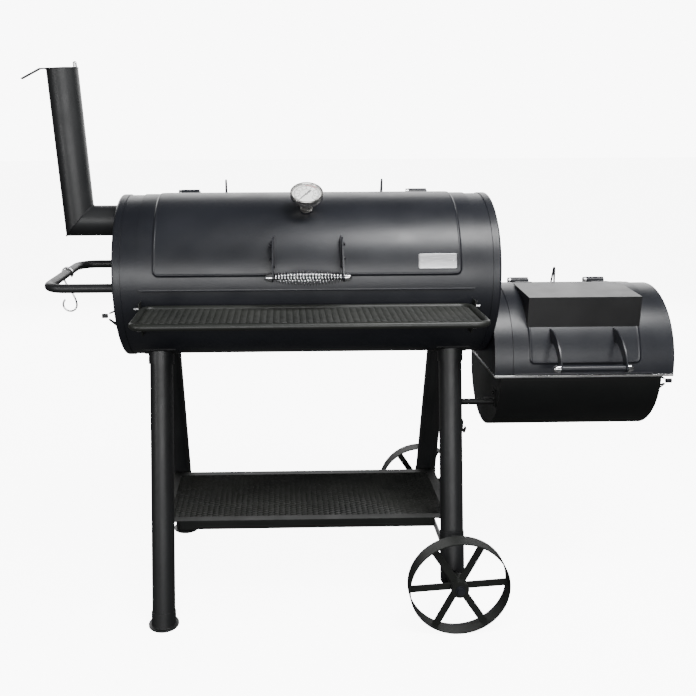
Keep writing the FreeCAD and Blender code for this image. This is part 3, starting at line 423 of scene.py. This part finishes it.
def pressed_lid(name, body, node, left, right, height, base, panel, start):
    """Lid sheet with rounded corners, a hem at both ends and a pressed panel with a beaded edge.

    The angle start is the front edge; the sheet runs up and over to LID_BACK.
    """
    stop = LID_BACK
    mid, half = (left + right) / 2, (right - left) / 2
    arc = math.radians(1) * base
    panel_mid, panel_half = (panel[0] + panel[1]) / 2, (panel[1] - panel[0]) / 2
    low, high = 8.0, 92.0
    arc_mid, arc_half = (low + high) / 2 * arc, (high - low) / 2 * arc
    corner, panel_corner, slope = 13.0, 16.0, 7.0
    coarse, fine = 1.5, 0.2

    def raised(x, angle):
        dx = abs(x - panel_mid) - (panel_half - panel_corner)
        ds = abs(angle * arc - arc_mid) - (arc_half - panel_corner)
        outside = math.hypot(max(dx, 0), max(ds, 0)) + min(max(dx, ds), 0) - panel_corner
        bead = 1.2 * math.exp(-((outside + 4.5) / 2.2) ** 2)
        hem = 0.8 * math.exp(-((min(angle - start, stop - angle) * arc - 2.0) / 1.3) ** 2)
        return base + LID_GAP + SHEET + RAISE * ease(-outside / slope) + bead + hem

    marks = [panel[0] - mid + 4, panel[1] - mid - 4]
    offsets = bands(-half, half, 12.0, 0.9, marks, 7.0)

    def row(angle):
        distance = min(angle - start, stop - angle) * arc
        inset = corner_inset(distance, corner)
        return [mid + u * (half - inset) / half for u in offsets]

    angles = bands(start, stop, coarse, fine, [low + 1, high - 1], 2.4)
    angles += steps(start, start + 3.6, fine) + steps(stop - 3.6, stop, fine)
    shape = Shape()
    thin_sheet(shape, row, sorted(set(angles)), raised, base + LID_GAP, height)
    return shape.piece(name, body, BLACK, (node,), 30.0)


def barrel_skin():
    """Both barrel shells as one smooth sheet around the lid's opening."""
    back_edge, lap = 42.0, 12.0
    shape = Shape()
    inner = RADIUS - SHEET
    half = (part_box("barrel_lower_shell")[1].x - BARREL.x) / MM
    back = math.degrees(math.acos(-back_edge / RADIUS))
    open_half = LID_HALF - lap
    plain_sheet(shape, -half, half, 180, 360, RADIUS, inner, AXIS)
    plain_sheet(shape, -half, half, back, 180, RADIUS, inner, AXIS)
    plain_sheet(shape, -half, -open_half, 0, back, RADIUS, inner, AXIS)
    plain_sheet(shape, open_half, half, 0, back, RADIUS, inner, AXIS)
    return shape.piece("barrel_skin", "frame", BLACK,
                       ("barrel_lower_shell", "barrel_upper_shell"))


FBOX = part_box("firebox_housing")
FBOX_LEFT, FBOX_RIGHT = rel_x(FBOX[0].x), rel_x(FBOX[1].x)
FLID_LEFT, FLID_RIGHT = rel_x(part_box("firebox_lid")[0].x), rel_x(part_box("firebox_lid")[1].x)
FPANEL = (rel_x(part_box("firebox_hood")[0].x), rel_x(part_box("firebox_hood")[1].x))

barrel_skin()
pressed_lid("lid_pressing", "barrel_lid", "lid_shell", -LID_HALF, LID_HALF, AXIS, RADIUS,
            (-PANEL_HALF, PANEL_HALF), -1.4)
pressed_lid("firebox_lid_pressing", "firebox_lid", "firebox_lid", FLID_LEFT, FLID_RIGHT, SEAM,
            BOX_RADIUS, FPANEL, 0.2)


# ------------------------------------------------------------------ expanded metal

def expanded(name, node, long_way, short_way, strand, lift, corner):
    """Expanded metal inside the outline of a CAD sheet: slanting strands between bonds."""
    low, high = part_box(node)
    x0, x1 = rel_x(low.x) + 1, rel_x(high.x) - 1
    y0, y1 = (low.y - CENTRE_Y) / MM + 1, (high.y - CENTRE_Y) / MM - 1
    z = (low.z + high.z) / 2 / MM
    columns = int(round((x1 - x0) / (long_way / 2)))
    rows = int(round((y1 - y0) / (short_way / 2)))
    dx, dy = (x1 - x0) / columns, (y1 - y0) / rows
    shape = Shape()

    def inside(x, y):
        gx = max(abs(x - (x0 + x1) / 2) - (x1 - x0) / 2 + corner, 0)
        gy = y0 + corner - y if y < y0 + corner else 0
        return not corner or math.hypot(gx, gy) <= corner

    def strip(a, b):
        """One strand from bond a to bond b, tipped like a louvre."""
        thick = 0.8
        rings = []
        for t, wide in ((0.0, 0.75), (0.2, 0.62), (0.8, 0.62), (1.0, 0.75)):
            x, y = a[0] + (b[0] - a[0]) * t, a[1] + (b[1] - a[1]) * t
            w = strand * wide
            rings.append([at(x, y - w, z - thick - lift), at(x, y + w, z - thick + lift),
                          at(x, y + w, z + thick + lift), at(x, y - w, z + thick - lift)])
        shape.rings(rings)

    for i in range(columns):
        for j in range(rows):
            if (i + j) % 2:
                continue
            bond = (x0 + i * dx, y0 + j * dy)
            upper = (x0 + (i + 1) * dx, y0 + (j + 1) * dy)
            if inside(*bond) and inside(*upper):
                strip(bond, upper)
    for i in range(columns):
        for j in range(rows):
            if (i + j) % 2 == 0:
                continue
            a = (x0 + i * dx, y0 + (j + 1) * dy)
            b = (x0 + (i + 1) * dx, y0 + j * dy)
            if inside(*a) and inside(*b):
                strip(a, b)
    return shape.piece(name, "frame", MESH_BLACK, (node,), 40.0)


expanded("bottom_shelf_expanded", "bottom_shelf_mesh", 30.0, 13.0, 3.0, 1.5, 0.0)
expanded("front_shelf_expanded", "front_shelf_mesh", 30.0, 13.0, 3.0, 1.4, 16.0)


# ------------------------------------------------------------------ chimney weld

def weld_bead():
    """Uneven bead around the mitre between the level and the upright pipe."""
    corner_x, corner_z, lean = -575.6, 1007.5, math.radians(2.5)
    flange, count = 12.0, 96
    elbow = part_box("chimney_elbow")
    radius = (elbow[1].y - elbow[0].y) / 2 / MM - flange
    slope = (1 - math.sin(lean)) / math.cos(lean)
    points = []
    for i in range(count):
        a = 2 * math.pi * i / count
        r = radius + 0.35 + 0.12 * math.sin(9 * a) + 0.08 * math.sin(23 * a)
        up = r * math.sin(a)
        points.append(at(corner_x + up * slope, r * math.cos(a), corner_z + up))
    shape = Shape()
    shape.tube(points, 1.5, 10, True)
    return shape.piece("chimney_weld", "frame", PIPE_BLACK, angle=60.0)


weld_bead()


# ------------------------------------------------------------------ grates

def grate(name, node, pitch, bar, cross_bars, gap=0.0):
    """Round bars welded on cross rods and a rim, filling the CAD grate; two grates with a gap."""
    low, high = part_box(node)
    x0, x1 = rel_x(low.x), rel_x(high.x)
    y0, y1 = (low.y - CENTRE_Y) / MM, (high.y - CENTRE_Y) / MM
    z = (low.z + high.z) / 2 / MM
    shape = Shape()
    spans = [(x0, -gap / 2), (gap / 2, x1)] if gap else [(x0, x1)]
    for a, b in spans:
        r = bar / 2
        rim = [at(a + r, y0 + r, z), at(b - r, y0 + r, z),
               at(b - r, y1 - r, z), at(a + r, y1 - r, z)]
        for i in range(4):
            shape.tube([rim[i], rim[(i + 1) % 4]], r, 12)
        for x in steps(a + r, b - r, pitch)[1:-1]:
            shape.tube([at(x, y0 + r, z), at(x, y1 - r, z)], r * 0.85, 12)
        for y in steps(y0 + r, y1 - r, (y1 - y0) / cross_bars)[1:-1]:
            shape.tube([at(a + r, y, z - 0.6), at(b - r, y, z - 0.6)], r * 0.8, 12)
    return shape.piece(name, "frame", IRON, (node,), 50.0)


grate("cooking_bars", "cooking_grates", 17.0, 6.0, 3, 6.0)
grate("charcoal_bars", "charcoal_grate", 22.0, 6.0, 2)
grate("firebox_bars", "firebox_grate", 22.0, 6.0, 2)


# ------------------------------------------------------------------ barrel lid handle

HANDLE = middle_of("lid_handle_rod")
HANDLE_Y = (HANDLE.y - CENTRE_Y) / MM
HANDLE_Z = HANDLE.z / MM
HANDLE_HALF = (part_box("lid_handle_rod")[1].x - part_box("lid_handle_rod")[0].x) / 2 / MM


def coil():
    """Wound wire grip that swells toward the middle."""
    turns, per_turn, wire = 22, 28, 1.6
    thin, swell, power = 8.4, 7.8, 0.8
    bracket = 4.0
    reach = HANDLE_HALF - bracket - wire - 0.4
    points = []
    for i in range(turns * per_turn + 1):
        t = i / (turns * per_turn)
        radius = thin + swell * math.sin(math.pi * t) ** power
        a = 2 * math.pi * i / per_turn
        x = -reach + 2 * reach * t
        points.append(at(x, HANDLE_Y + radius * math.cos(a), HANDLE_Z + radius * math.sin(a)))
    shape = Shape()
    shape.tube(points, wire, 12)
    return shape.piece("lid_handle_spring", "barrel_lid", CHROME, ("lid_handle_coil",), 60.0)


ACORN = [(0, 0.2), (0, 10.6), (1.6, 10.6), (1.6, 9.4), (7.4, 9.4), (8.2, 8.8)]
ACORN += [(8.2 + 8.6 * math.sin(math.radians(a)), 8.2 * math.cos(math.radians(a)))
          for a in range(0, 90, 10)]
ACORN.append((16.9, 0.1))
HEX = 6
BOLT_HEAD = [(0, 0.2), (0, 5.9), (0.9, 5.9), (0.9, 5.0), (4.0, 5.0), (4.7, 4.2), (4.7, 0.2)]


def acorn(shape, x, y, z, side):
    """Domed nut on a flange."""
    shape.lathe(at(x, y, z), Vector((side, 0, 0)), ACORN, 36)


def lid_hardware():
    """Domed nuts on the handle's ends and the hexagon heads beside its brackets."""
    foot = 223.0
    nuts = Shape()
    for side in (-1, 1):
        acorn(nuts, side * HANDLE_HALF, HANDLE_Y, HANDLE_Z, side)
    nuts.piece("lid_handle_acorns", "barrel_lid", CHROME, ("lid_handle_nuts",), 30.0)
    heads = Shape()
    for side in (-1, 1):
        for angle in (19.0, 28.0):
            spot = on_arc(side * HANDLE_HALF, angle, foot, AXIS)
            heads.lathe(spot, Vector((side, 0, 0)), BOLT_HEAD, HEX)
    heads.piece("lid_handle_bolts", "barrel_lid", BLACK, angle=30.0)


coil()
lid_hardware()


def firebox_hardware():
    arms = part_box("firebox_handle_arms")
    grip = middle_of("firebox_handle_grip")
    y, z = (grip.y - CENTRE_Y) / MM, grip.z / MM
    nuts = Shape()
    acorn(nuts, rel_x(arms[0].x), y, z, -1)
    acorn(nuts, rel_x(arms[1].x), y, z, 1)
    nuts.piece("firebox_handle_acorns", "firebox_lid", CHROME, ("firebox_handle_nuts",), 30.0)


firebox_hardware()


# ------------------------------------------------------------------ thermometer

DIAL_ANGLE = 57.0
OUT = Vector((0, -math.cos(math.radians(DIAL_ANGLE)), math.sin(math.radians(DIAL_ANGLE))))
ACROSS = Vector((1, 0, 0))
UPWARD = OUT.cross(ACROSS)
PANEL = RADIUS + LID_GAP + SHEET + RAISE
FACE = 49.05


def dial_at(out, u=0.0, v=0.0):
    """Point of the thermometer: out from the barrel axis, u to the right and v up on the dial."""
    return at(0, 0, AXIS) + (OUT * out + ACROSS * u + UPWARD * v) * MM


def thermometer_case():
    shape = Shape()
    collar = [(-3, 9), (3, 15), (6, 15), (8, 11), (26, 11), (28, 16), (36, 17)]
    shape.lathe(dial_at(PANEL), OUT, [(-6, 0.1)] + collar + [(36, 0.1)], 40)
    bezel = [(36, 0.1), (36, 33), (38, 37), (42, 39.2), (50, 39.8), (53.5, 39.6), (54.8, 38.4),
             (54.8, 36.8), (53.2, 35.2), (50.4, 33.6), (49.15, 33.2), (48.3, 33.2), (48.3, 0.1)]
    shape.lathe(dial_at(PANEL), OUT, bezel, 96)
    probe = [(0, 0.1), (0, 3.6), (1, 4), (76, 4), (76, 0.1)]
    shape.lathe(dial_at(PANEL - 75), OUT, probe, 24)
    return shape.piece("thermometer_body", "barrel_lid", STAINLESS,
                       ("thermometer_case",), 35.0)


def dial_marks():
    """Ring, graduation marks and plain coloured band of the scale."""
    face = PANEL + FACE
    ink = Shape()
    red = Shape()

    def patch(shape, r0, r1, a0, a1, lift=0.12):
        outer, inner = [], []
        for a in steps(a0, a1, 4.0):
            c, s = math.cos(math.radians(a)), math.sin(math.radians(a))
            outer.append(dial_at(face + lift, r1 * c, r1 * s))
            inner.append(dial_at(face + lift, r0 * c, r0 * s))
        shape.prism(outer + inner[::-1], OUT * 0.00008)

    first, last, count = 231.0, -51.0, 50
    for i in range(count + 1):
        a = first + (last - first) * i / count
        inner, half = (24.0, 1.5) if i % 5 == 0 else (27.0, 0.8)
        patch(ink, inner, 30.0, a - half, a + half)
    patch(ink, 30.0, 31.0, last, first)
    patch(ink, 16.6, 17.4, last, first)
    for i in range(11):
        a = first + (last - first) * i / 10
        patch(ink, 19.2, 22.6, a - 4.4, a - 0.9)
        patch(ink, 19.2, 22.6, a + 0.9, a + 4.4)
    patch(red, 31.6, 32.8, 40.0, 95.0)
    ink.piece("dial_print", "barrel_lid", INK, angle=30.0)
    red.piece("dial_red_band", "barrel_lid", RED_INK, angle=30.0)


def needle():
    shape = Shape()
    reading = math.radians(51.0)
    base = dial_at(PANEL + FACE + 0.85)
    turn = Matrix.Rotation(reading, 3, OUT)
    along, cross = turn @ -ACROSS, turn @ UPWARD
    outline = [(28, 0.7), (4, 1.7), (-6, 1.5), (-7, 2.9), (-15, 2.9), (-15, -2.9), (-7, -2.9),
               (-6, -1.5), (4, -1.7), (28, -0.7)]
    points = [base + (along * a + cross * b) * MM for a, b in outline]
    shape.prism(points, OUT * 0.6 * MM)
    hub = [(0, 0.1), (0, 3.1), (1.4, 3.1), (1.8, 2.6), (1.8, 0.1)]
    shape.lathe(dial_at(PANEL + FACE + 0.55), OUT, hub, 24)
    return shape.piece("thermometer_pointer", "needle", INK,
                       ("thermometer_needle",), 30.0)


thermometer_case()
dial_marks()
needle()


# ------------------------------------------------------------------ badge

def badge():
    """Blank curved plate with a rolled border and two rivets."""
    low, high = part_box("badge_plate")
    x0, x1 = rel_x(low.x), rel_x(high.x)
    base = PANEL
    shape = Shape()
    a0, a1 = 12.6, 22.4
    corner, edge_band, rivet_in, plate = 5.0, 1.4, 8.0, 0.9
    fine, coarse = 0.14, 0.8
    arc = math.radians(1) * base
    mid, half = (x0 + x1) / 2, (x1 - x0) / 2
    across = (0.93, 0.945, 0.965, 0.985, 1)
    across = [-u for u in reversed(across)] + [0, *across]

    def row(angle):
        inset = corner_inset(min(angle - a0, a1 - angle) * arc, corner)
        return [mid + u * (half - inset) for u in across]

    def outer(x, angle):
        edge = min((half - abs(x - mid)), (angle - a0) * arc, (a1 - angle) * arc)
        return base + plate + 0.6 * ease(edge / 0.8) * (1 - ease((edge - 1.6) / 0.8))

    angles = steps(a0, a0 + edge_band, fine)
    angles += steps(a0 + edge_band, a1 - edge_band, coarse)
    angles += steps(a1 - edge_band, a1, fine)
    thin_sheet(shape, row, sorted(set(angles)), outer, base, AXIS)
    rivet = [(0, 0.1), (0, 2.4), (1.0, 2.2), (1.45, 1.2), (1.5, 0.1)]
    middle = (a0 + a1) / 2
    a = math.radians(middle)
    for x in (x0 + rivet_in, x1 - rivet_in):
        spot = on_arc(x, middle, base, AXIS)
        shape.lathe(spot, Vector((0, -math.cos(a), math.sin(a))), rivet, 24)
    return shape.piece("blank_badge", "barrel_lid", PLATE, ("badge_plate",), 30.0)


badge()


# ------------------------------------------------------------------ rounded edges on flat work

ROUNDED = {
    "firebox_hood": 1.6, "firebox_handle_arms": 0.8, "lid_handle_brackets": 0.7, "lid_handle_arms": 0.8,
    "bottom_shelf_frame": 0.8, "bottom_shelf_brackets": 0.8, "front_shelf_brackets": 0.7,
    "leg_feet": 1.0, "firebox_ledge": 1.0, "firebox_strut": 0.8,
}
for node, width in ROUNDED.items():
    softened(node, width)


# ------------------------------------------------------------------ stage, light and camera

AMBIENT = 0.10
BACKDROP = 9.0
FLOOR_GLOW = 8.0


def seen_by_camera(nodes, links, kind, other, seen, socket):
    """A stage value that differs for what the camera sees and for what lights the object."""
    path = nodes.new("ShaderNodeLightPath")
    mix = nodes.new("ShaderNodeMix")
    mix.data_type = kind
    first, second = [i for i in mix.inputs if i.enabled and i.name in ("A", "B")]
    first.default_value = other
    second.default_value = seen
    factor = next(i for i in mix.inputs if i.enabled and i.name == "Factor")
    links.new(path.outputs["Is Camera Ray"], factor)
    links.new(next(o for o in mix.outputs if o.enabled), socket)


def floor():
    """Pale studio sweep; it sends little light back up on the object."""
    mesh = bpy.data.meshes.new("floor")
    half = 30.0
    corners = [(-half, -half, 0), (half, -half, 0), (half, half, 0), (-half, half, 0)]
    mesh.from_pydata(corners, [], [(0, 1, 2, 3)])
    obj = bpy.data.objects.new("floor", mesh)
    bpy.context.scene.collection.objects.link(obj)
    mat, nodes, links, shader = new_material("pale_floor")
    seen_by_camera(nodes, links, "RGBA", (0.06, 0.06, 0.06, 1), (0.95, 0.95, 0.95, 1),
                   shader.inputs["Base Color"])
    shader.inputs["Emission Color"].default_value = (1, 1, 1, 1)
    seen_by_camera(nodes, links, "FLOAT", 0.0, FLOOR_GLOW, shader.inputs["Emission Strength"])
    shader.inputs["Roughness"].default_value = 0.9
    shader.inputs["Specular IOR Level"].default_value = 0.1
    mesh.materials.append(mat)


def world():
    w = bpy.data.worlds.new("studio")
    bpy.context.scene.world = w
    w.use_nodes = True
    nodes, links = w.node_tree.nodes, w.node_tree.links
    back = nodes["Background"]
    back.inputs["Color"].default_value = (1, 1, 1, 1)
    seen_by_camera(nodes, links, "FLOAT", AMBIENT, BACKDROP, back.inputs["Strength"])


def softbox(name, place, aim, size, power, mirrored=True):
    """Rectangular light aimed at a point; without mirrored it leaves no highlight."""
    data = bpy.data.lights.new(name, "AREA")
    data.shape = "RECTANGLE"
    data.size, data.size_y = size
    data.energy = power
    obj = bpy.data.objects.new(name, data)
    bpy.context.scene.collection.objects.link(obj)
    obj.location = place
    obj.rotation_mode = "QUATERNION"
    obj.rotation_quaternion = (Vector(aim) - Vector(place)).to_track_quat("-Z", "Y")
    obj.visible_camera = False
    obj.visible_glossy = mirrored


def camera():
    """Placed by matching the barrel, legs and firebox of a real smoker of this size."""
    yaw, pitch, roll = 0.0228, 0.2643, -0.0042
    level = Vector((math.sin(yaw), math.cos(yaw), 0)) * math.cos(pitch)
    forward = level - Vector((0, 0, math.sin(pitch)))
    right = Vector((math.cos(yaw), -math.sin(yaw), 0))
    up = right.cross(forward)
    rolled_right = right * math.cos(roll) + up * math.sin(roll)
    rolled_up = up * math.cos(roll) - right * math.sin(roll)
    data = bpy.data.cameras.new("camera")
    obj = bpy.data.objects.new("camera", data)
    bpy.context.scene.collection.objects.link(obj)
    turn = Matrix((rolled_right, rolled_up, -forward)).transposed()
    obj.matrix_world = Matrix.Translation(at(-58.6, -2093.3, 1238.6)) @ turn.to_4x4()
    frame_px, focal_px, sensor = 696.0, 808.5, 36.0
    centre_x, centre_y = 301.33, 345.0
    data.sensor_width = sensor
    data.lens = focal_px / frame_px * sensor
    data.shift_x = (frame_px / 2 - centre_x) / frame_px
    data.shift_y = (centre_y - frame_px / 2) / frame_px
    bpy.context.scene.camera = obj


floor()
world()
softbox("front_strip", (-0.1, -3.9, 1.45), (-0.1, 0.0, 0.9), (3.6, 1.0), 115)
softbox("top_right", (0.80, -0.85, 2.45), (0.55, -0.15, 0.9), (1.4, 0.50), 56)
softbox("left_strip", (-2.7, -1.9, 1.35), (-0.6, 0.0, 1.2), (0.55, 1.7), 26)
softbox("matte_fill", (0.2, -1.6, 3.4), (0.0, -0.2, 0.9), (2.4, 1.6), 90, mirrored=False)
softbox("back_sweep", (0.0, 3.2, 1.9), (0.0, 0.0, 0.9), (7.0, 2.6), 190)
camera()
